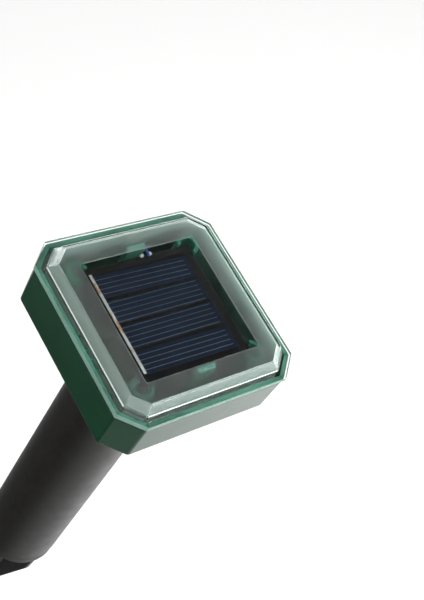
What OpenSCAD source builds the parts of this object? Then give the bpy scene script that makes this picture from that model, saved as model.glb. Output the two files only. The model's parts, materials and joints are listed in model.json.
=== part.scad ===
// Solar stake repeller: an octagonal solar head on a round tube with a ribbed ground stake.
// The origin is the stake's tip, and +Z runs up the tube to the head's clear cover.

/* [Overall] */
// Height from the stake's tip to the top of the cover
total_h = 330; // [310:1:400]
// Width of the cover's flange across its flats
head_w = 95; // [92:1:100]
// How far each corner of the head is cut back along both sides
head_cut = 10.1; // [8:0.1:12]

/* [Cover] */
// Height of the raised cover face above the flange
cover_rise = 4.8; // [3.5:0.1:6]
// Thickness of the cover's outer flange
flange_t = 2.7; // [2:0.1:3.2]
// Wall thickness of the clear cover
cover_wall = 1.45; // [1.2:0.05:2]
// Width of the raised face across its flats
plateau_w = 81.2; // [78:0.1:83]
// Width of the clear window
window_w = 60.8; // [56:0.1:64]
// Depth of the tongue that plugs into the housing
tongue_h = 4.6; // [3:0.1:6]

/* [Housing] */
// Height of the housing's side walls, from its underside to the shadow gap
housing_h = 21.8; // [20:0.1:26]
// Thickness of the housing's walls
housing_wall = 2.3; // [2:0.1:2.8]
// Thickness of the housing's floor
floor_t = 2.5; // [2.4:0.1:3]
// Height of the shadow gap between the housing and the cover
gap_h = 1.5; // [0.8:0.1:2]
// Depth of the rain skirt below the housing
skirt_h = 12; // [10:0.5:14]

/* [Solar panel] */
// Width of the square panel board
panel_w = 60.8; // [58:0.1:61]
// Thickness of the panel board with its resin
panel_t = 2.4; // [2:0.1:3]
// Depth of the panel's face below the top of the flange
panel_depth = 2.7; // [2:0.1:4]
// Length of one solar cell
cell_l = 50.6; // [46:0.1:52]
// Width of one solar cell
cell_w = 11.3; // [10:0.1:11.8]
// Distance from one solar cell to the next
cell_pitch = 13; // [12.6:0.1:13.6]

/* [Power button] */
// Radius of the power button
button_r = 4.6; // [4:0.1:5]
// Distance that the power button travels
button_travel = 1.5; // [1:0.1:1.6]

/* [Tube and stake] */
// Outer radius of the tube
tube_r = 22.1; // [22:0.05:22.3]
// Wall thickness of the tube
tube_wall = 1.5; // [1.3:0.05:1.5]
// Height of the stake below the tube
stake_h = 92; // [80:1:110]
// Height of the tube's narrower neck, which goes up into the head
neck_h = 12.2; // [12:0.1:14.5]
// Turn that frees the head from the tube, in degrees
lock_angle = 24; // [20:1:30]

/* [Hidden] */

$fn = 64;
eps = 0.01;
touch = 0.05;

// Levels of the head
flange_z = total_h - cover_rise;
rim_z = flange_z - flange_t;
wall_z = rim_z - gap_h;
base_z = wall_z - housing_h;
floor_z = base_z + floor_t;
panel_z = flange_z - panel_depth;
board_z = floor_z + 9.3;
board_t = 1.6;
board_top = board_z + board_t;

// Outlines of the head
housing_w = head_w - 1;
rim_w = housing_w - 1.2;
inner_w = housing_w - 2 * housing_wall;
foot_w = plateau_w + 4.3;
plateau_cut = 6.4;
foot_cut = 7.6;
tongue_w = inner_w - 3.4;

// Posts and clips in the housing
post_at = 29.8;
post_r = 5.4;
post_bore_r = 3.4;
clip_w = 9.5;
clip_t = 2.5;
clip_y = panel_w / 2 + 0.5;
rib_ys = [-15.6, -12.7, -10.7, -6.3, 1.4];
standoff_x = 34;
standoff_y = 18;

// Cells, each a little out of square, as they are laid by hand
cell_angles = [-1.1, -0.5, -0.5, -1.5];
cell_z = panel_z - 0.45;
cell_t = 0.5;
ribbon_x = -24.5;

// Power button
button_x = -33;
button_gap = 0.3;
switch_w = 8.4;
switch_z = floor_z + 3.1;
seal_r = 6.4;

// Collar and bayonet
tube_in_r = tube_r - tube_wall;
neck_r = tube_r - 0.4;
collar_r = tube_in_r - 0.4;
collar_in_r = collar_r - 2.6;
collar_z = base_z - 37;
lug_r = 1.7;
lug_z = base_z - 7.7;
lug_count = 3;
wire_hole_r = 9;
boss_at = 14.4;
o_ring_z = base_z - 19;
o_ring_r = 0.9;

// Battery
cell_aa_r = 7;
wrap_t = 0.2;
cradle_r = 9.4;
cradle_in_r = 7.5;
cradle_top = collar_z;
cradle_bottom = cradle_top - 65;
battery_top = cradle_top - 5.1;
battery_bottom = battery_top - 50.7;
lead_hole = 9.4;

// Loudspeaker, facing down
cup_top = cradle_bottom - 5;
cup_bottom = cup_top - 22;
frame_z = cup_bottom + 2;
cup_in_r = collar_r - 1.9;

// Tube and stake
tube_bottom = stake_h;
tube_top = base_z - 0.4;
slot_h = 4.2;
plug_h = 20;

lead_r = 0.6;

// Routes of the leads, point by point
blue_route = [
    [7.6, 29.2, panel_z + 0.75],
    [7.8, 30.8, panel_z + 0.9],
    [8.4, 32.6, panel_z + 0.3],
    [8.8, 34.2, panel_z - 2],
    [8.8, 34.8, panel_z - 5.5],
    [8.5, 33, panel_z - 8],
    [8, 28, board_top + 0.85],
    [8, 20.5, board_top + 0.7]
];
red_route = [
    [-10, 25, panel_z - panel_t - 0.7],
    [-10, 19, panel_z - panel_t - 1.2],
    [-9, 15, panel_z - panel_t - 3.4],
    [-8.2, 15, board_top + 1.2],
    [-8, 20, board_top + 0.7]
];
speaker_route = [
    [4, -4, cup_top - 8.8],
    [8, -8, cup_top - 6],
    [lead_hole, -lead_hole, cup_top - 1],
    [lead_hole, -lead_hole, cup_top + 6],
    [10.4, -10.4, cradle_bottom + 30],
    [lead_hole, -lead_hole, cradle_top],
    [lead_hole, -lead_hole, cradle_top + 5],
    [6.5, -6.5, base_z - 14],
    [5, -5, base_z + 1],
    [6, -7, board_z - 3],
    [7, -10, board_z - 0.75]
];
minus_route = [
    [-2, 9.9, cradle_bottom + 4.8],
    [-7, 10.4, cradle_bottom + 8],
    [-10.2, 10.2, cradle_bottom + 20],
    [-10.2, 10.2, cradle_bottom + 50],
    [-lead_hole, lead_hole, cradle_top],
    [-lead_hole, lead_hole, cradle_top + 5],
    [-6.5, 6.5, base_z - 14],
    [-5, 5, base_z + 1],
    [-6, 7, board_z - 3],
    [-7, 10, board_z - 0.75]
];
plus_route = [
    [2, 10.2, cradle_top - 4.6],
    [6, 10.6, cradle_top - 3.6],
    [lead_hole, lead_hole, cradle_top],
    [lead_hole, lead_hole, cradle_top + 5],
    [6.5, 6.5, base_z - 14],
    [5, 5, base_z + 1],
    [6, 7, board_z - 3],
    [7, 10, board_z - 0.75]
];

// A square outline with its four corners cut off
function octagon(w, cut) = let (h = w / 2, c = h - cut)
    [[h, -c], [h, c], [c, h], [-c, h], [-h, c], [-h, -c], [-c, -h], [c, -h]];

function lift(outline, z) = [for (p = outline) [p[0], p[1], z]];

function unit(v) = v / norm(v);

// A smooth curve through a route's points, with a few steps between each pair
function spline(p, steps) = let (n = len(p) - 1) concat(
    [for (i = [0 : n - 1], s = [0 : steps - 1])
        let (a = p[max(i - 1, 0)], b = p[i], c = p[i + 1], d = p[min(i + 2, n)], t = s / steps)
        (2 * b + t * (c - a) + t * t * (2 * a - 5 * b + 4 * c - d) + t * t * t * (3 * b - a - 3 * c + d)) / 2],
    [p[n]]
);

module prism(w, cut, h) {
    linear_extrude(h) polygon(octagon(w, cut));
}

// An octagonal block whose sides lean in from its foot to its top
module frustum(w0, cut0, w1, cut1, h) {
    polyhedron(
        points = concat(lift(octagon(w0, cut0), 0), lift(octagon(w1, cut1), h)),
        faces = concat(
            [[for (i = [0 : 7]) i]],
            [[for (i = [0 : 7]) 15 - i]],
            [for (i = [0 : 7]) let (j = (i + 1) % 8) [i, i + 8, j + 8, j]]
        )
    );
}

module ring(outer, inner, h) {
    difference() {
        cylinder(r = outer, h = h);
        translate([0, 0, -1]) cylinder(r = inner, h = h + 2);
    }
}

// A square plate with round corners
module plate(w, corner, h) {
    s = w / 2 - corner;
    translate([-w / 2, -s, 0]) cube([w, 2 * s, h]);
    translate([-s, -w / 2, 0]) cube([2 * s, w, h]);
    for (x = [-s, s], y = [-s, s]) translate([x, y, 0]) cylinder(r = corner, h = h, $fn = 32);
}

// A round wire swept along its route
module lead(route) {
    sides = 8;
    p = spline(route, 4);
    n = len(p) - 1;
    side = [0.36, 0.48, 0.8];
    rings = [for (i = [0 : n])
        let (
            t = unit(p[min(i + 1, n)] - p[max(i - 1, 0)]),
            u = unit(cross(t, unit([side[1], -side[0], 0.1]))),
            v = cross(t, u)
        )
        for (k = [0 : sides - 1]) p[i] + lead_r * (cos(45 * k) * u + sin(45 * k) * v)];
    polyhedron(
        points = rings,
        faces = concat(
            [[for (k = [0 : sides - 1]) sides - 1 - k]],
            [[for (k = [0 : sides - 1]) n * sides + k]],
            [for (i = [0 : n - 1], k = [0 : sides - 1])
                let (j = (k + 1) % sides, a = i * sides, b = a + sides) [a + k, a + j, b + j, b + k]]
        )
    );
}

// A pan head screw with a cross recess, its head's underside at z = 0 and its shank down
module screw(head_r, head_h, shank_r, shank_l) {
    difference() {
        cylinder(r = head_r, h = head_h, $fn = 32);
        for (a = [0, 90]) rotate(a) translate([-head_r * 0.55, -0.3, head_h * 0.45]) {
            cube([head_r * 1.1, 0.6, head_h]);
        }
    }
    translate([0, 0, -shank_l]) cylinder(r = shank_r, h = shank_l + eps, $fn = 32);
}

module at_corners(x, y) {
    for (sx = [-1, 1], sy = [-1, 1]) translate([sx * x, sy * y, 0]) children();
}

module at_diagonals() {
    for (a = [45 : 90 : 315]) rotate(a) translate([lead_hole * sqrt(2), 0, 0]) children();
}

module collar_screw_places() {
    for (a = [0 : 90 : 270]) rotate(a) translate([boss_at, 0, 0]) children();
}

// Head

module housing_shell() {
    difference() {
        union() {
            translate([0, 0, base_z]) prism(housing_w, head_cut, housing_h);
            translate([0, 0, wall_z - eps]) prism(rim_w, head_cut - 0.4, gap_h + eps);
        }
        translate([0, 0, floor_z]) prism(inner_w, head_cut - 0.9, total_h);
    }
}

// Corner posts carry the panel, and their open rims stand round its corners
module corner_posts() {
    at_corners(post_at, post_at) {
        translate([0, 0, floor_z - eps]) cylinder(r = post_r, h = flange_z - 1.2 - floor_z);
    }
}

module edge_clips() {
    for (a = [0, 180]) rotate(a) translate([-clip_w / 2, clip_y, floor_z - eps]) {
        cube([clip_w, clip_t, total_h - cover_wall - touch - floor_z]);
    }
}

// Ribs in the side walls that centre the cover's tongue
module tongue_ribs() {
    for (s = [-1, 1], y = rib_ys) translate([s * (inner_w / 2 - 0.6), y, rim_z - 2.3]) {
        cube([1.4, 0.9, 4.4], center = true);
    }
}

module head_housing() color("#1b4531") {
    difference() {
        union() {
            housing_shell();
            corner_posts();
            edge_clips();
            tongue_ribs();
            at_corners(standoff_x, standoff_y) {
                translate([0, 0, floor_z - eps]) cylinder(r = 3, h = board_z - floor_z + eps);
            }
            translate([0, 0, base_z - skirt_h]) ring(tube_r + 2.9, tube_r + 0.4, skirt_h + eps);
        }
        at_corners(post_at, post_at) {
            translate([0, 0, panel_z - 9]) cylinder(r = post_bore_r, h = 20);
        }
        translate([-panel_w / 2 - 0.15, -panel_w / 2 - 0.15, panel_z - panel_t]) {
            cube([panel_w + 0.3, panel_w + 0.3, 20]);
        }
        at_corners(standoff_x, standoff_y) {
            translate([0, 0, floor_z + 2]) cylinder(r = 0.9, h = 20);
        }
        translate([0, 0, base_z - 1]) cylinder(r = wire_hole_r, h = floor_t + 2);
        collar_screw_places() {
            translate([0, 0, base_z - 1]) cylinder(r = 1.7, h = floor_t + 2);
        }
        translate([button_x, 0, 0]) {
            translate([0, 0, base_z - 1]) cylinder(r = button_r + button_gap, h = floor_t + 2);
            translate([0, 0, base_z + 0.7]) cylinder(r = seal_r, h = 1.1);
        }
    }
}

module head_cover() color("#c9dcd4", 0.35) {
    difference() {
        union() {
            translate([0, 0, rim_z]) prism(head_w, head_cut, flange_t);
            translate([0, 0, flange_z - eps]) {
                frustum(foot_w, foot_cut, plateau_w, plateau_cut, cover_rise + eps);
            }
            translate([0, 0, rim_z - tongue_h]) prism(tongue_w, head_cut - 2.2, tongue_h + eps);
        }
        translate([0, 0, rim_z - tongue_h - 1]) {
            prism(tongue_w - 2 * cover_wall, head_cut - 2.9, tongue_h + 1 + flange_t);
        }
        translate([0, 0, flange_z - eps]) {
            frustum(
                tongue_w - 2 * cover_wall, head_cut - 2.9,
                plateau_w - 2 * cover_wall, plateau_cut - 0.6,
                cover_rise - cover_wall + eps
            );
        }
        translate([0, 0, flange_z]) plate(window_w, 1.5, cover_rise - cover_wall + 0.25);
    }
}

module cover_gasket() color("#101210") {
    translate([0, 0, rim_z - tongue_h - 1.5]) difference() {
        prism(inner_w - 2 * touch, head_cut - 0.9, 1.4);
        translate([0, 0, -1]) prism(tongue_w - 1.6, head_cut - 2.4, 4);
    }
}

// Solar panel

module panel_board() color("#1c1c1e") {
    difference() {
        translate([0, 0, panel_z - panel_t]) plate(panel_w, 1.5, panel_t);
        for (i = [0 : 3]) cell_place(i) {
            translate([0, 0, 1]) cube([cell_l + 0.1, cell_w + 0.1, 2], center = true);
        }
    }
}

module cell_place(i) {
    translate([0, (i - 1.5) * cell_pitch + 0.4, cell_z]) rotate(cell_angles[i]) children();
}

module solar_cell(i) color("#19233c") {
    cell_place(i) translate([0, 0, cell_t / 2]) cube([cell_l, cell_w, cell_t], center = true);
}

module bus_ribbon() color("#c4bfb6") {
    translate([ribbon_x - 0.7, -23.8, cell_z + cell_t]) cube([1.4, 51.2, 0.15]);
}

// Dabs of glue that hold the blue lead on the panel's edge
module glue_dabs() color("#e4e6e6") {
    for (x = [5.5, 9.7]) translate([x, 29, panel_z]) intersection() {
        sphere(r = 1.15, $fn = 32);
        translate([-2, -2, 0]) cube(4);
    }
}

module panel_lead_blue() color("#2450a8") lead(blue_route);

module panel_lead_red() color("#b32420") lead(red_route);

// Electronics

module circuit_board() color("#1d5b34") {
    translate([0, 0, board_z]) difference() {
        translate([-38, -23, 0]) cube([76, 46, board_t]);
        at_corners(standoff_x, standoff_y) translate([0, 0, -1]) cylinder(r = 1.2, h = 4, $fn = 32);
    }
}

module control_chip() color("#1a1a1c") {
    translate([0, 0, board_top]) {
        translate([-5, -2, 0.2]) cube([10, 4, 1.4]);
        for (i = [-3.5 : 3.5], s = [-1, 1]) {
            translate([i * 1.2 - 0.2, s * 2.5 - 0.55, 0]) cube([0.4, 1.1, 0.4]);
        }
    }
}

module storage_capacitor() color("#23303f") {
    translate([14, -10, board_top + 3.3]) rotate([0, 90, 0]) cylinder(r = 3.25, h = 11);
}

module boost_inductor() color("#3a3a3c") {
    translate([-18, 8, board_top]) {
        cylinder(r = 4, h = 1);
        cylinder(r = 2.6, h = 5);
        translate([0, 0, 4]) cylinder(r = 4, h = 1);
    }
}

module chip_resistors() color("#2a2a2a") {
    for (x = [-16 : 4 : -4]) translate([x, -12, board_top]) cube([1.6, 0.9, 0.5]);
    for (x = [12 : 4 : 24]) translate([x, 8, board_top]) cube([1.6, 0.9, 0.5]);
}

module board_screws() color("#b8babd") {
    at_corners(standoff_x, standoff_y) translate([0, 0, board_top]) screw(2.2, 1.6, 0.85, 7);
}

// Power button

module switch_body() color("#202124") {
    translate([button_x, 0, 0]) difference() {
        translate([-switch_w / 2, -switch_w / 2, switch_z]) {
            cube([switch_w, switch_w, board_z - switch_z]);
        }
        translate([0, 0, switch_z - 1]) cylinder(r = 2.1, h = 5.5);
    }
}

module switch_plunger() color("#d9d6cf") {
    translate([button_x, 0, floor_z + 1.2]) cylinder(r = 1.8, h = switch_z - floor_z + 1);
}

module power_button() color("#1f2022") {
    translate([button_x, 0, 0]) {
        translate([0, 0, base_z - button_travel]) {
            rotate_extrude() polygon([
                [0, 0.3],
                [button_r - 1.2, 0],
                [button_r - 0.3, 0.2],
                [button_r, 0.7],
                [button_r, floor_t + button_travel + 0.5],
                [0, floor_t + button_travel + 0.5]
            ]);
        }
        translate([0, 0, floor_z + 0.3]) cylinder(r = 6.2, h = 0.9);
    }
}

module button_seal() color("#141414") {
    translate([button_x, 0, base_z + 0.75]) ring(seal_r - touch, button_r + 0.06, 1);
}

// Collar that joins the head to the tube

module head_collar() color("#1a1a1a") {
    difference() {
        union() {
            translate([0, 0, collar_z]) cylinder(r = collar_r, h = base_z - collar_z);
            for (i = [0 : lug_count - 1]) rotate(i * 360 / lug_count) translate([collar_in_r + 1, 0, lug_z]) {
                rotate([0, 90, 0]) cylinder(r = lug_r, h = neck_r - 0.2 - collar_in_r - 1);
            }
        }
        difference() {
            translate([0, 0, collar_z - 1]) cylinder(r = collar_in_r, h = base_z - 2 - collar_z + 1);
            collar_screw_places() translate([0, 0, base_z - 14]) cylinder(r = 3.4, h = 20);
        }
        translate([0, 0, base_z - 3]) cylinder(r = wire_hole_r, h = 4);
        collar_screw_places() translate([0, 0, base_z - 12]) cylinder(r = 1.25, h = 20);
        translate([0, 0, o_ring_z - 1.1]) ring(collar_r + 1, collar_r - 1.55, 2.2);
    }
}

module collar_screws() color("#b8babd") {
    collar_screw_places() translate([0, 0, floor_z]) screw(2.9, 2, 1.2, 11);
}

module collar_o_ring() color("#121212") {
    translate([0, 0, o_ring_z]) rotate_extrude() {
        translate([tube_in_r - touch - o_ring_r, 0]) circle(r = o_ring_r, $fn = 32);
    }
}

// Battery

module battery_holder() color("#17181a") {
    difference() {
        union() {
            translate([0, 0, cradle_top]) cylinder(r = collar_in_r - 0.1, h = 3);
            translate([0, 0, cradle_bottom]) cylinder(r = cradle_r, h = cradle_top - cradle_bottom + eps);
            translate([0, 0, cup_top]) cylinder(r = collar_r - 0.2, h = cradle_bottom - cup_top + eps);
        }
        translate([0, 0, cradle_bottom + 3.5]) cylinder(r = cradle_in_r, h = 58);
        translate([-6.4, 0, cradle_bottom + 3.5]) cube([12.8, 12, 58]);
        at_diagonals() {
            translate([0, 0, cradle_top - 1]) cylinder(r = 1.3, h = 5);
            translate([0, 0, cup_top - 1]) cylinder(r = 1.3, h = 7);
        }
    }
}

module battery_cell() color("#a9abad") {
    translate([0, 0, battery_bottom]) cylinder(r = cell_aa_r - touch, h = 49.5);
    translate([0, 0, battery_top - 2]) cylinder(r = 2.6, h = 2, $fn = 32);
}

module battery_wrap() color("#2f8f4e") {
    translate([0, 0, battery_bottom + 0.3]) ring(cell_aa_r + wrap_t, cell_aa_r, 49);
}

// Conical contact spring under the battery
module battery_spring() color("#b9bcbe") {
    turns = 3;
    steps = 20;
    wire = 0.4;
    z0 = cradle_bottom + 3.5 + wire + touch;
    rise = battery_bottom - z0 - wire - touch;
    n = turns * steps;
    rings = [for (i = [0 : n])
        let (a = 360 * i / steps, r = 5.6 - 2 * i / n)
        for (k = [0 : 7])
            let (c = r + wire * cos(45 * k))
            [c * cos(a), c * sin(a), z0 + rise * i / n + wire * sin(45 * k)]];
    polyhedron(
        points = rings,
        faces = concat(
            [[for (k = [0 : 7]) k]],
            [[for (k = [0 : 7]) n * 8 + 7 - k]],
            [for (i = [0 : n - 1], k = [0 : 7])
                let (j = (k + 1) % 8, a = i * 8, b = a + 8) [a + k, b + k, b + j, a + j]]
        )
    );
}

module battery_plate() color("#b9bcbe") {
    translate([0, 0, battery_top + touch]) {
        cylinder(r = 1.6, h = 1.1, $fn = 32);
        translate([0, 0, 1]) cylinder(r = 5.4, h = 0.5);
        translate([-2.5, 0, 1]) cube([5, 9.8, 0.5]);
    }
}

module battery_leads() color("#b32420") {
    lead(minus_route);
    lead(plus_route);
}

// Loudspeaker

module speaker_cup() color("#17181a") {
    difference() {
        translate([0, 0, cup_bottom]) cylinder(r = collar_r, h = cup_top - cup_bottom);
        translate([0, 0, cup_bottom - 1]) cylinder(r = cup_in_r - 1, h = cup_top - cup_bottom - 1);
        translate([0, 0, cup_bottom - 1]) cylinder(r = cup_in_r, h = 4.2);
        at_diagonals() translate([0, 0, cup_top - 3]) cylinder(r = 1.3, h = 4);
    }
}

module speaker_frame() color("#8f9396") {
    difference() {
        translate([0, 0, frame_z]) rotate_extrude() polygon([
            [15, 0],
            [cup_in_r - 0.1, 0],
            [cup_in_r - 0.1, 1.1],
            [16.9, 1.1],
            [16.9, 4.6],
            [7.5, 4.6],
            [7.5, 3.8],
            [16.2, 3.8],
            [16.2, 0.9],
            [15, 0.9]
        ]);
        for (a = [0 : 90 : 270]) rotate(a + 45) translate([11.8, 0, frame_z + 3]) {
            cylinder(r = 2.2, h = 3, $fn = 32);
        }
    }
}

module speaker_yoke() color("#9a9da0") {
    translate([0, 0, frame_z + 3.8]) difference() {
        cylinder(r = 7.45, h = 6.7);
        translate([0, 0, -1]) cylinder(r = 6.45, h = 6.5);
    }
}

module speaker_magnet() color("#54575a") {
    translate([0, 0, frame_z + 6.4]) cylinder(r = 5, h = 2.9);
}

module speaker_pole() color("#9a9da0") {
    translate([0, 0, frame_z + 5.1]) cylinder(r = 5, h = 1.3);
}

module voice_coil() color("#b4682f") {
    translate([0, 0, frame_z + 2.9]) ring(6.05, 5.4, 4.2);
}

// Domed sheet that the coil drives, with a raised ring round its edge
module diaphragm() color("#c9c2ae") {
    translate([0, 0, frame_z]) rotate_extrude() polygon([
        [0, 0.6],
        [3, 0.8],
        [5.6, 1.7],
        [6.4, 2.2],
        [12.6, 1.7],
        [14, 2.1],
        [15.2, 1.6],
        [16.1, 0.95],
        [16.1, 1.25],
        [15.2, 1.9],
        [14, 2.4],
        [12.6, 2],
        [6.4, 2.55],
        [6.2, 2.85],
        [5.2, 2.85],
        [5.2, 1.95],
        [3, 1.1],
        [0, 0.9]
    ]);
}

module speaker_grille() color("#1b1c1e") {
    translate([0, 0, cup_bottom + 0.2]) difference() {
        union() {
            cylinder(r = cup_in_r - 0.1, h = 0.9);
            ring(cup_in_r - 0.1, 16, 1.8);
        }
        translate([0, 0, -1]) cylinder(r = 1.4, h = 4, $fn = 24);
        for (k = [1 : 3], i = [0 : 6 * k - 1]) rotate(i * 60 / k) translate([4.2 * k, 0, -1]) {
            cylinder(r = 1.4, h = 4, $fn = 24);
        }
    }
}

module speaker_leads() color("#26282b") {
    lead(speaker_route);
    mirror([1, 0, 0]) lead(speaker_route);
}

// Tube and stake

// An entry slot down from the tube's rim, with a level leg that the lug turns along
module bayonet_slot() {
    half_a = 6;
    translate([0, 0, lug_z - slot_h / 2]) {
        rotate(-half_a) rotate_extrude(angle = lock_angle + half_a) {
            translate([tube_in_r - 1, 0]) square([tube_wall + 2, slot_h]);
        }
    }
    translate([0, 0, lug_z - slot_h / 2 - 0.4]) rotate(lock_angle - half_a) rotate_extrude(angle = 2 * half_a) {
        translate([tube_in_r - 1, 0]) square([tube_wall + 2, 20]);
    }
}

module tube() color("#1e1b18") {
    difference() {
        rotate_extrude() polygon([
            [tube_in_r, tube_bottom],
            [tube_r, tube_bottom],
            [tube_r, tube_top - neck_h],
            [neck_r, tube_top - neck_h],
            [neck_r, tube_top],
            [tube_in_r, tube_top]
        ]);
        for (i = [0 : lug_count - 1]) rotate(i * 360 / lug_count) bayonet_slot();
    }
}

// Solid plug in the tube, a shoulder under it, and four fins that taper to the point
module stake() color("#1b1a19") {
    fin_t = 3;
    shoulder_h = 8;
    fin_top = stake_h - shoulder_h;
    difference() {
        translate([0, 0, stake_h - eps]) cylinder(r = tube_in_r - touch, h = plug_h);
        translate([0, 0, stake_h + 3]) cylinder(r = tube_in_r - 2.5, h = plug_h);
    }
    translate([0, 0, fin_top]) cylinder(r = tube_r - 0.2, h = shoulder_h);
    translate([0, 0, 3]) cylinder(r1 = 1.5, r2 = 7, h = fin_top - 3);
    for (a = [0, 90]) rotate(a) rotate([90, 0, 0]) translate([0, 0, -fin_t / 2]) linear_extrude(fin_t) {
        polygon([
            [-0.8, 0],
            [0.8, 0],
            [8, 24],
            [tube_r - 2, fin_top - 16],
            [tube_r - 1, fin_top + eps],
            [1 - tube_r, fin_top + eps],
            [2 - tube_r, fin_top - 16],
            [-8, 24]
        ]);
    }
}

head_housing();
head_cover();
cover_gasket();
panel_board();
for (i = [0 : 3]) solar_cell(i);
bus_ribbon();
glue_dabs();
panel_lead_blue();
panel_lead_red();
circuit_board();
control_chip();
storage_capacitor();
boost_inductor();
chip_resistors();
board_screws();
switch_body();
switch_plunger();
power_button();
button_seal();
head_collar();
collar_screws();
collar_o_ring();
battery_holder();
battery_cell();
battery_wrap();
battery_spring();
battery_plate();
battery_leads();
speaker_cup();
speaker_frame();
speaker_yoke();
speaker_magnet();
speaker_pole();
voice_coil();
diaphragm();
speaker_grille();
speaker_leads();
tube();
stake();
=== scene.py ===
import bpy
import bmesh
import json
import math
from mathutils import Matrix, Vector

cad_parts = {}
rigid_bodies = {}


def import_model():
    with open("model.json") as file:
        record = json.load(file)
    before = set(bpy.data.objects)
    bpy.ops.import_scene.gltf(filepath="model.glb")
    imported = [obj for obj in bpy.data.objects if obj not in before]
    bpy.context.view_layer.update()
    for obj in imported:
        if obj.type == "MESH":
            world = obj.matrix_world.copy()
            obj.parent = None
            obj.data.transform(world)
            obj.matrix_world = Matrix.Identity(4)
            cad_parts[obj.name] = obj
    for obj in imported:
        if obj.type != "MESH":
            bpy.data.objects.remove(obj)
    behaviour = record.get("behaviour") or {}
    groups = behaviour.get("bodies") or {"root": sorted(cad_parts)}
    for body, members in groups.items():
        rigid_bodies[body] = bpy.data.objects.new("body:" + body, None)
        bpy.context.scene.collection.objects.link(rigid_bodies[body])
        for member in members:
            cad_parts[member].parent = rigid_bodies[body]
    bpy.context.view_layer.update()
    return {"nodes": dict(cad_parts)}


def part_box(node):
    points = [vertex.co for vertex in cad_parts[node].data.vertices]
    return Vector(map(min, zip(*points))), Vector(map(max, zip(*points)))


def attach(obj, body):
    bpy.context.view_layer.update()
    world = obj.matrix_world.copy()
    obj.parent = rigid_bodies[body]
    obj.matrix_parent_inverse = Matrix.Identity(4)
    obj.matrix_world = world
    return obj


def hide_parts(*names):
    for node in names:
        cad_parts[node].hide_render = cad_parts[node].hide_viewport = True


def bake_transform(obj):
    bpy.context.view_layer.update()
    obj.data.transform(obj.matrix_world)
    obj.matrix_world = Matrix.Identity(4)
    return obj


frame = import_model()
nodes = frame["nodes"]
mm = 0.001
print("frame loaded:", len(nodes), "nodes")


# ---- small helpers for working by hand ----

def pickOnly(obj):
    if bpy.context.mode != "OBJECT":
        bpy.ops.object.mode_set(mode="OBJECT")
    bpy.ops.object.select_all(action="DESELECT")
    obj.select_set(True)
    bpy.context.view_layer.objects.active = obj


def startEdit(obj, elementType="FACE"):
    pickOnly(obj)
    bpy.ops.object.mode_set(mode="EDIT")
    bpy.ops.mesh.select_mode(type=elementType)
    bpy.ops.mesh.select_all(action="DESELECT")
    return bmesh.from_edit_mesh(obj.data)


def endEdit():
    bpy.ops.object.mode_set(mode="OBJECT")


def selectFaces(obj, test):
    mesh = bmesh.from_edit_mesh(obj.data)
    bpy.ops.mesh.select_all(action="DESELECT")
    for face in mesh.faces:
        face.select_set(test(face.calc_center_median(), face.normal))
    bmesh.update_edit_mesh(obj.data)


def selectEdges(obj, test):
    mesh = bmesh.from_edit_mesh(obj.data)
    bpy.ops.mesh.select_all(action="DESELECT")
    for edge in mesh.edges:
        a, b = edge.verts[0].co, edge.verts[1].co
        edge.select_set(test((a + b) / 2, (b - a).normalized()))
    bmesh.update_edit_mesh(obj.data)


def settle(obj):
    pickOnly(obj)
    bpy.ops.object.transform_apply(location=True, rotation=True, scale=True)


def applyModifier(obj, kind, **settings):
    pickOnly(obj)
    modifier = obj.modifiers.new(kind.title(), kind)
    for key, value in settings.items():
        setattr(modifier, key, value)
    bpy.ops.object.modifier_apply(modifier=modifier.name)


def cutWith(obj, cutter):
    applyModifier(obj, "BOOLEAN", operation="DIFFERENCE", solver="EXACT", object=cutter)
    bpy.data.objects.remove(cutter)


def joinInto(target, others):
    pickOnly(target)
    for other in others:
        other.select_set(True)
    bpy.ops.object.join()
    return target


def copyPiece(obj, name):
    twin = obj.copy()
    twin.data = obj.data.copy()
    twin.name = name
    bpy.context.scene.collection.objects.link(twin)
    return twin


def smooth(obj, angle=35):
    # flat faces keep flat normals beside their rounded edges
    pickOnly(obj)
    bpy.ops.object.shade_smooth_by_angle(angle=math.radians(angle))
    applyModifier(obj, "WEIGHTED_NORMAL", keep_sharp=True, weight=100)


def faceOutwards(obj):
    startEdit(obj)
    bpy.ops.mesh.select_all(action="SELECT")
    bpy.ops.mesh.normals_make_consistent(inside=False)
    endEdit()


def newBlock(name, size, centre):
    bpy.ops.mesh.primitive_cube_add(size=1, location=centre, scale=size)
    obj = bpy.context.object
    obj.name = name
    settle(obj)
    return obj


def newRod(name, radius, bottom, top, place=(0, 0), sides=64):
    middle = (place[0], place[1], (bottom + top) / 2)
    bpy.ops.mesh.primitive_cylinder_add(vertices=sides, radius=radius, depth=top - bottom, location=middle)
    obj = bpy.context.object
    obj.name = name
    settle(obj)
    return obj


def bevelEdges(obj, test, width, segments=3):
    startEdit(obj, "EDGE")
    selectEdges(obj, test)
    bpy.ops.mesh.bevel(
        offset=width, offset_type="OFFSET", segments=segments, affect="EDGES", clamp_overlap=False
    )
    endEdit()


def isUpright(along):
    return abs(along.z) > 0.95


def at(value, level, near=0.05 * mm):
    return abs(value - level) < near


def octagonReach(p, cut=10.1 * mm, width=95 * mm):
    # half the width of the cut-cornered square that p lies on
    corner = (abs(p.x) + abs(p.y) + cut) / 2
    return max(abs(p.x), abs(p.y), corner)


# ---- materials ----

def newMaterial(name):
    material = bpy.data.materials.new(name)
    material.use_nodes = True
    tree = material.node_tree
    shader = tree.nodes["Principled BSDF"]
    return material, tree, shader


def addNode(tree, kind, **values):
    node = tree.nodes.new(kind)
    for key, value in values.items():
        if key in node.inputs:
            node.inputs[key].default_value = value
        else:
            setattr(node, key, value)
    return node


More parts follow.
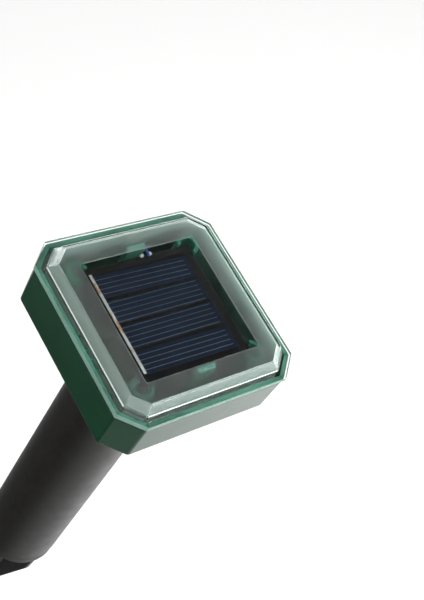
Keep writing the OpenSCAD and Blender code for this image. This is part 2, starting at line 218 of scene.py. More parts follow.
def addNoise(tree, scale, detail=4, stretch=(1, 1, 1)):
    where = addNode(tree, "ShaderNodeTexCoord")
    mapping = addNode(tree, "ShaderNodeMapping", Scale=stretch)
    noise = addNode(tree, "ShaderNodeTexNoise", Scale=scale, Detail=detail)
    tree.links.new(where.outputs["Object"], mapping.inputs["Vector"])
    tree.links.new(mapping.outputs["Vector"], noise.inputs["Vector"])
    return noise


def addRamp(tree, source, low, high, colors=None, values=None):
    ramp = tree.nodes.new("ShaderNodeValToRGB")
    first, last = colors or [(v, v, v) for v in values]
    ramp.color_ramp.elements[0].position = low
    ramp.color_ramp.elements[1].position = high
    ramp.color_ramp.elements[0].color = (*first, 1)
    ramp.color_ramp.elements[1].color = (*last, 1)
    tree.links.new(source, ramp.inputs["Fac"])
    return ramp


def addBump(tree, shader, source, strength, distance):
    bump = addNode(tree, "ShaderNodeBump", Strength=strength, Distance=distance)
    tree.links.new(source, bump.inputs["Height"])
    tree.links.new(bump.outputs["Normal"], shader.inputs["Normal"])
    return bump


def shaded(color, factor):
    return tuple(channel * factor for channel in color)


def mouldedPlastic(name, color, roughness, grain=900, grainDepth=0.02, sheen=0.12, specular=0.5):
    material, tree, shader = newMaterial(name)
    cloud = addNoise(tree, 45, 5)
    shades = (shaded(color, 1 - sheen), shaded(color, 1 + sheen))
    tint = addRamp(tree, cloud.outputs["Fac"], 0.3, 0.7, colors=shades)
    tree.links.new(tint.outputs["Color"], shader.inputs["Base Color"])
    wear = addNoise(tree, 160, 6)
    gloss = addRamp(tree, wear.outputs["Fac"], 0.3, 0.72, values=(roughness * 0.85, roughness * 1.2))
    tree.links.new(gloss.outputs["Color"], shader.inputs["Roughness"])
    texture = addNoise(tree, grain, 3)
    addBump(tree, shader, texture.outputs["Fac"], 0.35, grainDepth * mm)
    shader.inputs["Specular IOR Level"].default_value = specular
    return material


def platedMetal(name, color, roughness, stretch=(1, 1, 12)):
    material, tree, shader = newMaterial(name)
    cloud = addNoise(tree, 300, 4)
    tint = addRamp(tree, cloud.outputs["Fac"], 0.3, 0.7, colors=(shaded(color, 0.85), shaded(color, 1.05)))
    tree.links.new(tint.outputs["Color"], shader.inputs["Base Color"])
    brushing = addNoise(tree, 700, 3, stretch)
    gloss = addRamp(tree, brushing.outputs["Fac"], 0.3, 0.7, values=(roughness * 0.7, roughness * 1.3))
    tree.links.new(gloss.outputs["Color"], shader.inputs["Roughness"])
    addBump(tree, shader, brushing.outputs["Fac"], 0.2, 0.01 * mm)
    shader.inputs["Metallic"].default_value = 1
    return material


def clearPlastic(name, color, roughness, haziness=0.0):
    material, tree, shader = newMaterial(name)
    haze = addNoise(tree, 220, 4)
    gloss = addRamp(tree, haze.outputs["Fac"], 0.35, 0.7, values=(roughness * 0.8, roughness * 1.25))
    tree.links.new(gloss.outputs["Color"], shader.inputs["Roughness"])
    shader.inputs["Base Color"].default_value = (*color, 1)
    shader.inputs["Transmission Weight"].default_value = 1 - haziness
    shader.inputs["IOR"].default_value = 1.49
    return material


def frostedUnderside():
    material = clearPlastic("frostedCover", (0.80, 0.96, 0.91), 0.38, 0.02)
    tree = material.node_tree
    grain = addNoise(tree, 1600, 2)
    addBump(tree, tree.nodes["Principled BSDF"], grain.outputs["Fac"], 0.5, 0.03 * mm)
    return material


materials = {
    "green": mouldedPlastic("greenHousing", (0.002, 0.042, 0.017), 0.2, grain=1500, grainDepth=0.012),
    "clear": clearPlastic("clearCover", (0.97, 0.995, 0.985), 0.012),
    "frosted": frostedUnderside(),
    "frostedWall": clearPlastic("frostedCoverWall", (0.79, 0.97, 0.91), 0.5, 0.4),
    # near-white haze on the window's step, and on the band at the foot of the raised slope, where it is a
    # painted glow
    "windowStepHazeAndPaintedGlow": clearPlastic("windowStepHazeAndPaintedGlow", (0.9, 0.97, 0.95), 0.4, 0.85),
    # painted reflection: the clear flange's side faces get a green tint and haze that stand in for the green
    # rim seen reflected inside the flange
    "flangeSidePaintedReflection": clearPlastic("flangeSidePaintedReflection", (0.36, 0.58, 0.50), 0.42, 0.35),
    "gasket": mouldedPlastic("coverGasket", (0.22, 0.29, 0.27), 0.5),
    # painted light: a rougher, much lighter copy of the housing green on the rim top and the inner walls,
    # standing for light reaching the rim and the pit beside it
    "rim": mouldedPlastic(
        "housingRimPaintedLight", (0.13, 0.33, 0.25), 0.7, grain=1500, grainDepth=0.05, sheen=0.4, specular=0.15
    ),
    # painted light: a lighter copy of the housing green for the posts, standoffs, clips and ribs, standing
    # for the strong light inside the cavity
    "innerGreenPaintedLight": mouldedPlastic(
        "innerGreenPaintedLight", (0.02, 0.17, 0.11), 0.45, grain=700, grainDepth=0.06, sheen=0.4
    ),
    # painted light: a still lighter green for upward faces just under the cover, the tops of the clips
    "tip": mouldedPlastic("paintedLightTops", (0.10, 0.33, 0.26), 0.5),
    "board": mouldedPlastic("panelResin", (0.004, 0.004, 0.0045), 0.05, grain=400, grainDepth=0.01),
    "cell": mouldedPlastic("cellSilicon", (0.006, 0.016, 0.037), 0.08, grain=600, grainDepth=0.004),
    "finger": platedMetal("cellFinger", (0.20, 0.25, 0.32), 0.4),
    "ribbon": platedMetal("tinnedRibbon", (0.75, 0.70, 0.62), 0.3),
    "glue": mouldedPlastic("whiteGlue", (0.72, 0.74, 0.74), 0.3, grain=700, grainDepth=0.05),
    "blueWire": mouldedPlastic("blueWire", (0.012, 0.07, 0.38), 0.35),
    "redWire": mouldedPlastic("redWire", (0.42, 0.02, 0.015), 0.35),
    "blackWire": mouldedPlastic("blackWire", (0.015, 0.015, 0.016), 0.4),
    "circuit": mouldedPlastic("circuitBoard", (0.012, 0.10, 0.035), 0.3),
    "component": mouldedPlastic("blackComponent", (0.014, 0.014, 0.015), 0.5),
    "capacitor": mouldedPlastic("capacitorSleeve", (0.012, 0.025, 0.06), 0.25),
    "ferrite": mouldedPlastic("ferrite", (0.045, 0.045, 0.047), 0.6),
    "screw": platedMetal("zincScrew", (0.62, 0.63, 0.64), 0.3),
    "white": mouldedPlastic("whitePlastic", (0.68, 0.66, 0.61), 0.4),
    "button": mouldedPlastic("buttonPlastic", (0.02, 0.02, 0.021), 0.35),
    "black": mouldedPlastic("blackPlastic", (0.017, 0.017, 0.018), 0.4),
    "rubber": mouldedPlastic("blackRubber", (0.018, 0.018, 0.018), 0.65, specular=0.3),
    "batterySteel": platedMetal("batterySteel", (0.6, 0.6, 0.6), 0.3),
    "batteryWrap": mouldedPlastic("batteryWrap", (0.025, 0.28, 0.07), 0.22),
    "contact": platedMetal("contactSteel", (0.66, 0.66, 0.65), 0.25),
    "speakerSteel": platedMetal("speakerSteel", (0.5, 0.51, 0.52), 0.35),
    "magnet": platedMetal("magnet", (0.32, 0.33, 0.34), 0.2),
    "coil": platedMetal("copperCoil", (0.62, 0.25, 0.10), 0.35),
    "film": mouldedPlastic("diaphragmFilm", (0.56, 0.5, 0.38), 0.3),
    "tube": mouldedPlastic("tubePlastic", (0.010, 0.009, 0.008), 0.33, grain=1200, grainDepth=0.02),
    "stake": mouldedPlastic("stakePlastic", (0.012, 0.011, 0.011), 0.42, grain=1200, grainDepth=0.02),
}

nodeMaterials = {
    "head_housing": "green", "head_cover": "clear", "cover_gasket": "gasket", "panel_board": "board",
    "bus_ribbon": "ribbon", "glue_dabs": "glue", "panel_lead_blue": "blueWire", "panel_lead_red": "redWire",
    "circuit_board": "circuit", "control_chip": "component", "storage_capacitor": "capacitor",
    "boost_inductor": "ferrite", "chip_resistors": "component", "board_screws": "screw",
    "switch_body": "component", "switch_plunger": "white", "power_button": "button", "button_seal": "rubber",
    "head_collar": "black", "collar_screws": "screw", "collar_o_ring": "rubber", "battery_holder": "black",
    "battery_cell": "batterySteel", "battery_wrap": "batteryWrap", "battery_spring": "contact",
    "battery_plate": "contact", "battery_leads": "redWire", "speaker_cup": "black",
    "speaker_frame": "speakerSteel", "speaker_yoke": "speakerSteel", "speaker_magnet": "magnet",
    "speaker_pole": "speakerSteel", "voice_coil": "coil", "diaphragm": "film", "speaker_grille": "black",
    "speaker_leads": "blackWire", "tube": "tube", "stake": "stake",
    "solar_cell_1": "cell", "solar_cell_2": "cell", "solar_cell_3": "cell", "solar_cell_4": "cell",
}
for nodeName, key in nodeMaterials.items():
    nodes[nodeName].data.materials.clear()
    nodes[nodeName].data.materials.append(materials[key])
print("materials ready:", len(materials))


# ---- clear cover ----

coverShape = {
    "cornerCut": 10.1 * mm,
    "flangeThick": 2.7 * mm,
    "rise": 4.8 * mm,
    "footWidth": 85.5 * mm,
    "topWidth": 81.2 * mm,
    "tongueWidth": 86 * mm,
    "wall": 1.45 * mm,
    "windowWidth": 60.8 * mm,
    "windowCorner": 0.9 * mm,
    "windowStep": 0.45 * mm,
    "edgeRound": 0.35 * mm,
}
coverLow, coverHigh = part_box("head_cover")
headWidth = coverHigh.x - coverLow.x
flangeZ = coverHigh.z - coverShape["rise"]
rimZ = flangeZ - coverShape["flangeThick"]
undersideZ = coverHigh.z - coverShape["wall"]


def octagonBlock(name, width, cut, bottom, top):
    block = newBlock(name, (width, width, top - bottom), (0, 0, (bottom + top) / 2))
    bevelEdges(block, lambda p, along: isUpright(along), cut, segments=1)
    return block


def extrudeBy(height, scale=1.0):
    bpy.ops.mesh.extrude_region_move(TRANSFORM_OT_translate={"value": (0, 0, height)})
    if scale != 1.0:
        bpy.ops.transform.resize(value=(scale, scale, 1), center_override=(0, 0, 0))


def buildCover():
    shape = coverShape
    cover = octagonBlock("headCover", headWidth, shape["cornerCut"], rimZ, flangeZ)
    startEdit(cover)
    selectFaces(cover, lambda p, n: n.z > 0.9)
    bpy.ops.mesh.inset(thickness=(headWidth - shape["footWidth"]) / 2)
    extrudeBy(shape["rise"], shape["topWidth"] / shape["footWidth"])
    selectFaces(cover, lambda p, n: n.z < -0.9)
    bpy.ops.mesh.inset(thickness=(headWidth - shape["tongueWidth"]) / 2)
    extrudeBy(coverLow.z - rimZ)
    bpy.ops.mesh.inset(thickness=shape["wall"])
    extrudeBy(flangeZ - coverLow.z)
    innerFoot = shape["tongueWidth"] - 2 * shape["wall"]
    innerTop = shape["topWidth"] - 2 * shape["wall"]
    extrudeBy(undersideZ - flangeZ, innerTop / innerFoot)
    endEdit()
    faceOutwards(cover)

    footReach = shape["footWidth"] / 2
    topReach = shape["topWidth"] / 2
    rimReach = headWidth / 2

    def isOuterEdge(p, along):
        reach = octagonReach(p)
        outerTop = p.z > undersideZ + 0.2 * mm
        foot = at(p.z, flangeZ) and reach > footReach - 0.55 * mm
        rim = reach > rimReach - 1 * mm
        slope = flangeZ + 0.2 * mm < p.z < coverHigh.z - 0.2 * mm and reach > topReach + 0.2 * mm
        return outerTop or foot or rim or slope

    bevelEdges(cover, isOuterEdge, shape["edgeRound"])
    window = newBlock("windowCutter", (shape["windowWidth"], shape["windowWidth"], 4 * mm),
                      (0, 0, undersideZ + shape["windowStep"] - 2 * mm))
    bevelEdges(window, lambda p, along: isUpright(along), shape["windowCorner"], segments=5)
    cutWith(cover, window)
    for key in ("clear", "frosted", "frostedWall", "windowStepHazeAndPaintedGlow", "flangeSidePaintedReflection"):
        cover.data.materials.append(materials[key])
    for face in cover.data.polygons:
        c, n = face.center, face.normal
        facesIn = n.x * c.x + n.y * c.y < -0.03 * c.length
        underFrame = at(c.z, undersideZ, 0.1 * mm) and n.z < -0.9
        innerWall = c.z < undersideZ - 0.1 * mm and abs(n.z) < 0.8 and facesIn
        windowStep = undersideZ < c.z < undersideZ + shape["windowStep"] and abs(n.z) < 0.2
        reach = octagonReach(c)
        nearFoot = footReach - 0.75 * mm < reach < footReach + 0.65 * mm
        foot = flangeZ + 0.01 * mm < c.z < flangeZ + 0.4 * mm and nearFoot
        atRim = reach > rimReach - 0.5 * mm
        # the flange's side faces take the painted green reflection
        flangeSidePaintedReflection = rimZ < c.z < flangeZ - 0.01 * mm and atRim and abs(n.z) < 0.95
        if underFrame:
            face.material_index = 1
        # the band at the foot of the slope takes the near-white haze as a painted glow
        elif windowStep or foot:
            face.material_index = 3
        elif innerWall:
            face.material_index = 2
        elif flangeSidePaintedReflection:
            face.material_index = 4
    smooth(cover)
    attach(cover, "head")
    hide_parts("head_cover")
    print("clear cover:", len(cover.data.polygons), "faces")
    return cover


buildCover()


# ---- green housing ----

housingShape = {
    "width": 94 * mm,
    "gapInset": 0.12 * mm,
    "gapHeight": 1.5 * mm,
    "wall": 2.3 * mm,
    "floor": 2.5 * mm,
    "cornerRound": 0.9 * mm,
    "bottomRound": 0.9 * mm,
    "rimRound": 0.2 * mm,
    "rimGap": -0.03 * mm,
    "postAt": 29.8 * mm,
    "postRadius": 5.4 * mm,
    "postBore": 3.6 * mm,
    "postTop": 1.2 * mm,
    "postRound": 0.25 * mm,
    "clipSize": (9.5 * mm, 2.5 * mm),
    "clipGap": 0.5 * mm,
    "ribSize": (1.4 * mm, 0.9 * mm, 4.4 * mm),
    "ribPlaces": [-15.6 * mm, -12.7 * mm, -10.7 * mm, -6.3 * mm, 1.4 * mm],
    "skirtRadii": (25 * mm, 22.5 * mm),
    "skirtHeight": 12 * mm,
    "standoffAt": (34 * mm, 18 * mm),
    "standoffRadius": 3 * mm,
    "standoffBore": 0.9 * mm,
    "screwAt": 14.4 * mm,
    "screwBore": 1.7 * mm,
    "wireHole": 9 * mm,
}
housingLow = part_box("head_housing")[0]
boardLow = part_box("circuit_board")[0]
panelLow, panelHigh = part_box("panel_board")
baseZ = housingLow.z + housingShape["skirtHeight"]
floorZ = baseZ + housingShape["floor"]
wallZ = rimZ - housingShape["gapHeight"]
panelWidth = panelHigh.x - panelLow.x


def buildPosts():
    shape = housingShape
    spot = (shape["postAt"], shape["postAt"])
    top = flangeZ - shape["postTop"]
    post = newRod("post", shape["postRadius"], floorZ - 0.1 * mm, top, spot, 48)
    startEdit(post)
    selectFaces(post, lambda p, n: n.z > 0.9)
    bpy.ops.mesh.inset(thickness=shape["postRadius"] - shape["postBore"])
    extrudeBy(panelHigh.z - 9 * mm - top)
    endEdit()

    def isTopRing(p, along):
        # the edges that run round the bore, not those that run out from it
        outward = abs(along.x * (p.x - spot[0]) + along.y * (p.y - spot[1]))
        return at(p.z, top) and outward < 0.5 * mm

    bevelEdges(post, isTopRing, shape["postRound"])
    seat = panelWidth + 0.3 * mm
    cutWith(post, newBlock("seatCutter", (seat, seat, 20 * mm), (0, 0, panelLow.z + 10 * mm)))
    posts = [post]
    for turn in range(1, 4):
        twin = copyPiece(post, "post")
        twin.rotation_euler = (0, 0, turn * math.pi / 2)
        settle(twin)
        posts.append(twin)
    return posts


def screwSpots():
    reach = housingShape["screwAt"]
    turns = [0, 90, 180, 270]
    return [(reach * math.cos(math.radians(t)), reach * math.sin(math.radians(t))) for t in turns]


def buildStandoffs():
    made = []
    for x in (-1, 1):
        for y in (-1, 1):
            spot = (x * housingShape["standoffAt"][0], y * housingShape["standoffAt"][1])
            post = newRod("standoff", housingShape["standoffRadius"], floorZ - 0.1 * mm, boardLow.z, spot, 32)
            boreRadius = housingShape["standoffBore"]
            cutWith(post, newRod("boreCutter", boreRadius, floorZ + 2 * mm, boardLow.z + 1 * mm, spot, 24))
            made.append(post)
    return made


def buildClips():
    shape = housingShape
    width, thick = shape["clipSize"]
    y = panelWidth / 2 + shape["clipGap"] + thick / 2
    top = undersideZ - 0.05 * mm
    made = []
    for side in (-1, 1):
        size = (width, thick, top - floorZ + 0.1 * mm)
        clip = newBlock("clip", size, (0, side * y, (top + floorZ - 0.1 * mm) / 2))
        bevelEdges(clip, lambda p, along: p.z > floorZ + 1 * mm, 0.3 * mm)
        made.append(clip)
    return made


def buildRibs():
    shape = housingShape
    x = shape["width"] / 2 - shape["wall"] - 0.6 * mm
    made = []
    for side in (-1, 1):
        for y in shape["ribPlaces"]:
            rib = newBlock("rib", shape["ribSize"], (side * x, y, rimZ - 2.3 * mm))
            bevelEdges(rib, lambda p, along: True, 0.15 * mm, 2)
            made.append(rib)
    return made


def buildHousing():
    shape = housingShape
    housing = octagonBlock("headHousing", shape["width"], coverShape["cornerCut"], baseZ, wallZ)
    bevelEdges(housing, lambda p, along: isUpright(along), shape["cornerRound"])
    bevelEdges(housing, lambda p, along: at(p.z, baseZ), shape["bottomRound"])
    startEdit(housing)
    selectFaces(housing, lambda p, n: n.z > 0.9)
    bpy.ops.mesh.inset(thickness=shape["gapInset"])
    extrudeBy(shape["gapHeight"] - shape["rimGap"])
    bpy.ops.mesh.inset(thickness=shape["wall"] - shape["gapInset"])
    extrudeBy(floorZ - rimZ + shape["rimGap"])
    endEdit()
    bevelEdges(housing, lambda p, along: at(p.z, rimZ - shape["rimGap"]), shape["rimRound"], 2)
    outside = shape["width"] / 2 - 0.2 * mm
    bevelEdges(housing, lambda p, along: at(p.z, wallZ) and octagonReach(p) > outside, shape["rimRound"], 2)
    faceOutwards(housing)
    outer, inner = shape["skirtRadii"]
    skirt = newRod("skirt", outer, housingLow.z, baseZ + 0.2 * mm, sides=96)
    bevelEdges(skirt, lambda p, along: at(p.z, housingLow.z), 0.5 * mm)
    cutWith(skirt, newRod("skirtCutter", inner, housingLow.z - 1 * mm, baseZ, sides=96))
    buttonLow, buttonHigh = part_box("power_button")
    buttonX = (buttonLow.x + buttonHigh.x) / 2
    cutWith(housing, newRod("buttonCutter", 4.9 * mm, baseZ - 1 * mm, floorZ + 1 * mm, (buttonX, 0), 48))
    cutWith(housing, newRod("wireCutter", shape["wireHole"], baseZ - 1 * mm, floorZ + 1 * mm, sides=64))
    sealLow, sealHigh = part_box("button_seal")
    sealRadius = (sealHigh.x - sealLow.x) / 2
    cutWith(housing, newRod("sealCutter", sealRadius, sealLow.z, sealHigh.z, (buttonX, 0), 48))
    for spot in screwSpots():
        cutWith(housing, newRod("screwCutter", shape["screwBore"], baseZ - 1 * mm, floorZ + 1 * mm, spot, 32))
    for key in ("green", "rim"):
        housing.data.materials.append(materials[key])
    # the rim top and the inner walls take the lighter green copy: painted light
    innerReach = (shape["width"] / 2 - shape["wall"]) + 0.3 * mm
    for face in housing.data.polygons:
        c, n = face.center, face.normal
        paintedLightRimTop = at(c.z, rimZ - shape["rimGap"]) and n.z > 0.9
        inside = octagonReach(c, coverShape["cornerCut"]) < innerReach
        paintedLightInsideWall = c.z > floorZ + 1 * mm and inside and abs(n.z) < 0.5
        face.material_index = 1 if paintedLightRimTop or paintedLightInsideWall else 0
    skirt.data.materials.append(materials["green"])
    inner = [*buildPosts(), *buildStandoffs(), *buildClips(), *buildRibs()]
    # the inner parts take the lighter green copies: painted light
    for part in inner:
        part.data.materials.clear()
        for key in ("innerGreenPaintedLight", "tip"):
            part.data.materials.append(materials[key])
        for face in part.data.polygons:
            # upward faces just under the cover take the lighter green: painted light
            face.material_index = 1 if face.center.z > undersideZ - 0.5 * mm and face.normal.z > 0.5 else 0
    joinInto(housing, [skirt, *inner])
    smooth(housing)
    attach(housing, "head")
    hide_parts("head_housing")
    print("housing:", len(housing.data.polygons), "faces")
    return housing


buildHousing()


# ---- solar panel ----

panelShape = {
    "edgeRound": 0.3 * mm,
    "cellSize": (50.6 * mm, 11.3 * mm, 0.5 * mm),
    "cellTurns": {"solar_cell_1": -1.1, "solar_cell_2": -0.5, "solar_cell_3": -0.5, "solar_cell_4": -1.5},
    "fingerSpan": (-23.75 * mm, 23.55 * mm),
    "fingerWidth": 0.26 * mm,
    "fingerHeight": 0.02 * mm,
    "fingerPitch": 2.42 * mm,
    "fourFingers": ["solar_cell_1", "solar_cell_4"],
}


def buildPanel():
    size = panelHigh - panelLow
    board = newBlock("panelBoard", size, (panelLow + panelHigh) / 2)
    bevelEdges(board, lambda p, along: True, panelShape["edgeRound"])
    board.data.materials.append(materials["board"])
    smooth(board)
    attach(board, "head")
    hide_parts("panel_board")


def buildCell(nodeName):
    low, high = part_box(nodeName)
    centre = (low + high) / 2
    width, depth, thick = panelShape["cellSize"]
    cell = newBlock(nodeName + "Wafer", (width, depth, thick), (0, 0, -thick / 2))
    bevelEdges(cell, lambda p, along: p.z > -thick / 2, 0.06 * mm, 2)
    cell.data.materials.append(materials["cell"])
    count = 4 if nodeName in panelShape["fourFingers"] else 5
    left, right = panelShape["fingerSpan"]
    tall = panelShape["fingerHeight"]
    strips = []
    for i in range(count):
        y = (i - (count - 1) / 2) * panelShape["fingerPitch"]
        stripSize = (right - left, panelShape["fingerWidth"], tall)
        strip = newBlock("finger", stripSize, ((left + right) / 2 - centre.x, y, tall / 2))
        strip.data.materials.append(materials["finger"])
        strips.append(strip)
    joinInto(cell, strips)
    cell.rotation_euler = (0, 0, math.radians(panelShape["cellTurns"][nodeName]))
    cell.location = (centre.x, centre.y, high.z)
    settle(cell)
    smooth(cell)
    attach(cell, "head")
    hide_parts(nodeName)


buildPanel()
for cellName in panelShape["cellTurns"]:
    buildCell(cellName)
print("solar panel done")


# ---- ribbon and glue on the panel ----

ribbonShape = {
    "cuts": 40,
    "waver": 0.05 * mm,
    "solderSize": (0.75 * mm, 1.7 * mm, 0.3 * mm),
    "glueSize": (1.1 * mm, 0.95 * mm, 1.1 * mm),
    "glueShift": (-0.9 * mm, 1.4 * mm),
}


def ribbonMaterial():
    material, tree, shader = newMaterial("tinnedRibbon")
    patches = addNoise(tree, 230, 3, (1, 0.6, 1))
    tint = addRamp(tree, patches.outputs["Fac"], 0.54, 0.62, colors=((0.80, 0.80, 0.78), (0.50, 0.27, 0.12)))
    tree.links.new(tint.outputs["Color"], shader.inputs["Base Color"])
    metal = addRamp(tree, patches.outputs["Fac"], 0.54, 0.62, values=(0.75, 0.1))
    tree.links.new(metal.outputs["Color"], shader.inputs["Metallic"])
    creases = addNoise(tree, 900, 4)
    addBump(tree, shader, creases.outputs["Fac"], 0.4, 0.05 * mm)
    shader.inputs["Roughness"].default_value = 0.38
    return material


def newBlob(name, size, centre, seed):
    bpy.ops.mesh.primitive_uv_sphere_add(segments=24, ring_count=14, radius=1, location=centre, scale=size)
    blob = bpy.context.object
    blob.name = name
    settle(blob)
    startEdit(blob)
    bpy.ops.mesh.select_all(action="SELECT")
    bpy.ops.transform.vertex_random(offset=min(size) * 0.08, seed=seed)
    bpy.ops.mesh.vertices_smooth(factor=0.5, repeat=2)
    endEdit()
    return blob


def buildRibbon():
    low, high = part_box("bus_ribbon")
    ribbon = newBlock("busRibbon", high - low, (low + high) / 2)
    startEdit(ribbon, "EDGE")
    selectEdges(ribbon, lambda p, along: abs(along.y) > 0.9)
    bpy.ops.mesh.subdivide(number_cuts=ribbonShape["cuts"])
    bpy.ops.mesh.select_all(action="SELECT")
    bpy.ops.transform.vertex_random(offset=ribbonShape["waver"], seed=7)
    endEdit()
    solders = []
    for number, cellName in enumerate(panelShape["cellTurns"]):
        cellLow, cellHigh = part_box(cellName)
        spot = ((low.x + high.x) / 2, (cellLow.y + cellHigh.y) / 2 - 1.2 * mm, high.z - 0.15 * mm)
        solders.append(newBlob("solder", ribbonShape["solderSize"], spot, number))
    joinInto(ribbon, solders)
    ribbon.data.materials.clear()
    ribbon.data.materials.append(ribbonMaterial())
    faceOutwards(ribbon)
    smooth(ribbon, 50)
    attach(ribbon, "head")
    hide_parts("bus_ribbon")


def buildGlue():
    low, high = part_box("glue_dabs")
    radius = ribbonShape["glueSize"][0]
    middle = (low + high) / 2
    dabs = []
    for seed, x in enumerate((low.x + radius, high.x - radius)):
        shiftX, shiftY = ribbonShape["glueShift"]
        spot = (x + shiftX, middle.y + shiftY, panelHigh.z + 0.15 * mm)
        dabs.append(newBlob("glueDabs", ribbonShape["glueSize"], spot, seed))
    glue = joinInto(dabs[0], dabs[1:])
    glue.data.materials.clear()
    glue.data.materials.append(materials["glue"])
    smooth(glue, 60)
    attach(glue, "head")
    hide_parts("glue_dabs")


buildRibbon()
buildGlue()
print("ribbon and glue done")


# ---- diaphragm, copied out of its body ----


def buildDiaphragm():
    film = copyPiece(nodes["diaphragm"], "diaphragmFilm")
    pickOnly(film)
    bpy.ops.object.parent_clear(type="CLEAR_KEEP_TRANSFORM")
    settle(film)
    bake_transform(film)
    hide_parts("diaphragm")


buildDiaphragm()
print("diaphragm done")


# ---- ground stake ----

stakeShape = {
    "finThick": 3 * mm,
    "finHalves": [(1.0, 0.0), (8.0, 24.0), (20.1, 68.0), (21.1, 84.5)],
    "finRound": 0.7 * mm,
    "coneRadii": (1.6 * mm, 7 * mm),
    "shoulderHeight": 8 * mm,
    "shoulderRound": 0.8 * mm,
    "plugRadius": 20.55 * mm,
    "plugWall": 2.45 * mm,
}


def buildFin():
    levels = [(half * mm, z * mm) for half, z in stakeShape["finHalves"]]
    half, z = levels[-1]
    fin = newBlock("groundStake", (2 * half, stakeShape["finThick"], 0.5 * mm), (0, 0, z - 0.25 * mm))
    startEdit(fin)
    selectFaces(fin, lambda p, n: n.z < -0.9)
    lastHalf, lastZ = half, z - 0.5 * mm
    for nextHalf, nextZ in reversed(levels[:-1]):
        bpy.ops.mesh.extrude_region_move(TRANSFORM_OT_translate={"value": (0, 0, nextZ - lastZ)})
        bpy.ops.transform.resize(value=(nextHalf / lastHalf, 1, 1), center_override=(0, 0, 0))
        lastHalf, lastZ = nextHalf, nextZ
    endEdit()

    def isFinCorner(p, along):
        return abs(p.y) > stakeShape["finThick"] * 0.4 and abs(along.z) > 0.3

    bevelEdges(fin, isFinCorner, stakeShape["finRound"])
    faceOutwards(fin)
    return fin


def buildStake():
    low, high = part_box("stake")
    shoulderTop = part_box("tube")[0].z
    shoulderBottom = shoulderTop - stakeShape["shoulderHeight"]
    fin = buildFin()
    crossFin = copyPiece(fin, "crossFin")
    crossFin.rotation_euler = (0, 0, math.pi / 2)
    settle(crossFin)
    tipRadius, topRadius = stakeShape["coneRadii"]
    coneBottom = 3 * mm
    bpy.ops.mesh.primitive_cone_add(
        vertices=48, radius1=tipRadius, radius2=topRadius,
        depth=shoulderBottom - coneBottom, location=(0, 0, (shoulderBottom + coneBottom) / 2)
    )
    core = bpy.context.object
    settle(core)
    shoulder = newRod("shoulder", high.x, shoulderBottom, shoulderTop, sides=96)
    bevelEdges(shoulder, lambda p, along: at(p.z, shoulderBottom), stakeShape["shoulderRound"])
    plug = newRod("plug", stakeShape["plugRadius"], shoulderTop - 0.2 * mm, high.z, sides=96)
    startEdit(plug)
    selectFaces(plug, lambda p, n: n.z > 0.9)
    bpy.ops.mesh.inset(thickness=stakeShape["plugWall"])
    extrudeBy(shoulderTop + 3 * mm - high.z)
    endEdit()
    stake = joinInto(fin, [crossFin, core, shoulder, plug])
    stake.data.materials.clear()
    stake.data.materials.append(materials["stake"])
    smooth(stake)
    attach(stake, "tube")
    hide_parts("stake")


buildStake()
print("stake done")


# ---- floor, lights and camera ----

cameraPlace = {
    "azimuth": -60.4,
    "elevation": 47.49,
    "roll": 36.03,
    "distance": 484.3 * mm,
    "aim": (24.2 * mm, -1.1 * mm),
    "lens": 65.0,
}

studio = {
    "floorSize": 12.0,
    "floorColor": (0.92, 0.92, 0.915),
    "worldStrength": 2.6,
    "skyStops": [(0.2, 0.9), (0.42, 0.5), (0.62, 0.015), (1.0, 0.012)],
    "rearSide": (0.78, 0.62),
    "frontHorizon": 0.45,
    "rearHorizon": 2.3,
    "bounceSide": (0.87, -0.5),
    "bounceStops": [
        (0.17, 0.08), (0.25, 0.01), (0.39, 0.05), (0.52, 0.16), (0.67, 0.26), (0.78, 0.42), (0.84, 0.7),
    ],
}


def buildFloor():
    bpy.ops.mesh.primitive_plane_add(size=studio["floorSize"], location=(0, 0, 0))
    floor = bpy.context.object
    floor.name = "floor"
    material, tree, shader = newMaterial("floorPaper")
    shader.inputs["Base Color"].default_value = (*studio["floorColor"], 1)
    shader.inputs["Roughness"].default_value = 0.9
    floor.data.materials.append(material)
    floor.visible_glossy = False


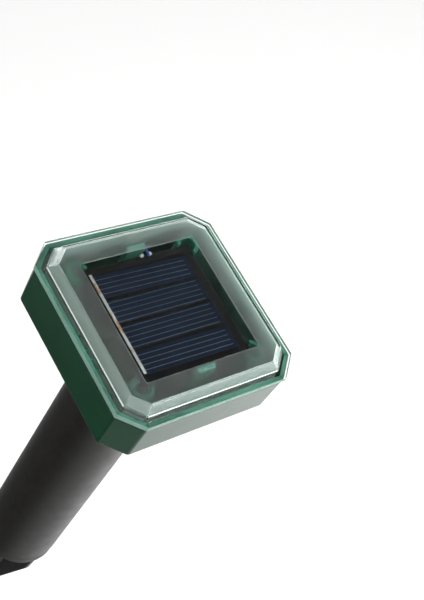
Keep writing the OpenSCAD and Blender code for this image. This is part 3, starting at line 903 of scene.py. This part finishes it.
def buildWorld():
    world = bpy.data.worlds.new("studio")
    bpy.context.scene.world = world
    world.use_nodes = True
    tree = world.node_tree
    tree.nodes.clear()
    output = tree.nodes.new("ShaderNodeOutputWorld")
    where = tree.nodes.new("ShaderNodeTexCoord")
    parts = tree.nodes.new("ShaderNodeSeparateXYZ")
    tree.links.new(where.outputs["Generated"], parts.inputs["Vector"])
    sky = addStops(tree, studio["skyStops"])
    tree.links.new(parts.outputs["Z"], sky.inputs["Fac"])
    rear = tree.nodes.new("ShaderNodeVectorMath")
    rear.operation = "DOT_PRODUCT"
    rear.inputs[1].default_value = (*studio["rearSide"], 0)
    tree.links.new(where.outputs["Generated"], rear.inputs[0])
    boost = addNode(tree, "ShaderNodeMapRange")
    boost.inputs["From Min"].default_value = -0.1
    boost.inputs["From Max"].default_value = 0.8
    boost.inputs["To Min"].default_value = studio["frontHorizon"]
    boost.inputs["To Max"].default_value = studio["rearHorizon"]
    tree.links.new(rear.outputs["Value"], boost.inputs["Value"])
    horizon = tree.nodes.new("ShaderNodeVectorMath")
    horizon.operation = "SCALE"
    tree.links.new(sky.outputs["Color"], horizon.inputs[0])
    tree.links.new(boost.outputs["Result"], horizon.inputs["Scale"])
    # below the horizon, only reflections see this: bright at the front right, dark at the left
    side = tree.nodes.new("ShaderNodeVectorMath")
    side.operation = "DOT_PRODUCT"
    side.inputs[1].default_value = (*studio["bounceSide"], 0)
    tree.links.new(where.outputs["Generated"], side.inputs[0])
    half = addNode(tree, "ShaderNodeMath", operation="MULTIPLY_ADD")
    half.inputs[1].default_value = 0.5
    half.inputs[2].default_value = 0.5
    tree.links.new(side.outputs["Value"], half.inputs[0])
    bounce = addStops(tree, studio["bounceStops"])
    tree.links.new(half.outputs["Value"], bounce.inputs["Fac"])
    below = addNode(tree, "ShaderNodeMapRange")
    below.inputs["From Min"].default_value = -0.3
    below.inputs["From Max"].default_value = -0.5
    tree.links.new(parts.outputs["Z"], below.inputs["Value"])
    mix = addNode(tree, "ShaderNodeMix", data_type="RGBA")
    tree.links.new(below.outputs["Result"], mix.inputs["Factor"])
    tree.links.new(horizon.outputs["Vector"], mix.inputs["A"])
    tree.links.new(bounce.outputs["Color"], mix.inputs["B"])
    glow = addNode(tree, "ShaderNodeBackground", Strength=studio["worldStrength"])
    tree.links.new(mix.outputs["Result"], glow.inputs["Color"])
    tree.links.new(glow.outputs["Background"], output.inputs["Surface"])


def addStops(tree, stops):
    ramp = tree.nodes.new("ShaderNodeValToRGB")
    elements = ramp.color_ramp.elements
    while len(elements) < len(stops):
        elements.new(0.5)
    for element, (position, value) in zip(elements, stops):
        element.position = position
        element.color = (value, value, value, 1)
    return ramp


def addSoftbox(name, place, target, size, power, turn=0):
    light = bpy.data.lights.new(name, "AREA")
    light.shape = "RECTANGLE"
    light.size, light.size_y = size
    light.energy = power
    lamp = bpy.data.objects.new(name, light)
    bpy.context.scene.collection.objects.link(lamp)
    lamp.location = place
    lamp.rotation_euler = (Vector(target) - Vector(place)).to_track_quat("-Z", "Y").to_euler()
    lamp.rotation_euler.rotate_axis("Z", math.radians(turn))
    return lamp


def buildCamera():
    data = bpy.data.cameras.new("camera")
    camera = bpy.data.objects.new("camera", data)
    bpy.context.scene.collection.objects.link(camera)
    azimuth, elevation = math.radians(cameraPlace["azimuth"]), math.radians(cameraPlace["elevation"])
    level = math.cos(elevation)
    back = Vector((math.sin(azimuth) * level, -math.cos(azimuth) * level, math.sin(elevation)))
    aim = Vector((*cameraPlace["aim"], flangeZ))
    roll = Matrix.Rotation(math.radians(cameraPlace["roll"]), 4, "Z")
    turned = (-back).to_track_quat("-Z", "Y").to_matrix().to_4x4() @ roll
    camera.matrix_world = Matrix.Translation(aim + back * cameraPlace["distance"]) @ turned
    data.lens = cameraPlace["lens"]
    data.sensor_width = 36
    data.clip_start = 0.01
    bpy.context.scene.camera = camera


buildFloor()
buildWorld()
addSoftbox("topBox", (-0.087, -0.279, 0.93), (-0.087, -0.279, 0), (1.0, 0.9), 3.5, -8)
addSoftbox("floorWash", (0.9, -1.1, 1.5), (0.3, 0.1, 0), (1.2, 1.2), 30)
buildCamera()
bpy.context.scene.view_settings.view_transform = "Standard"
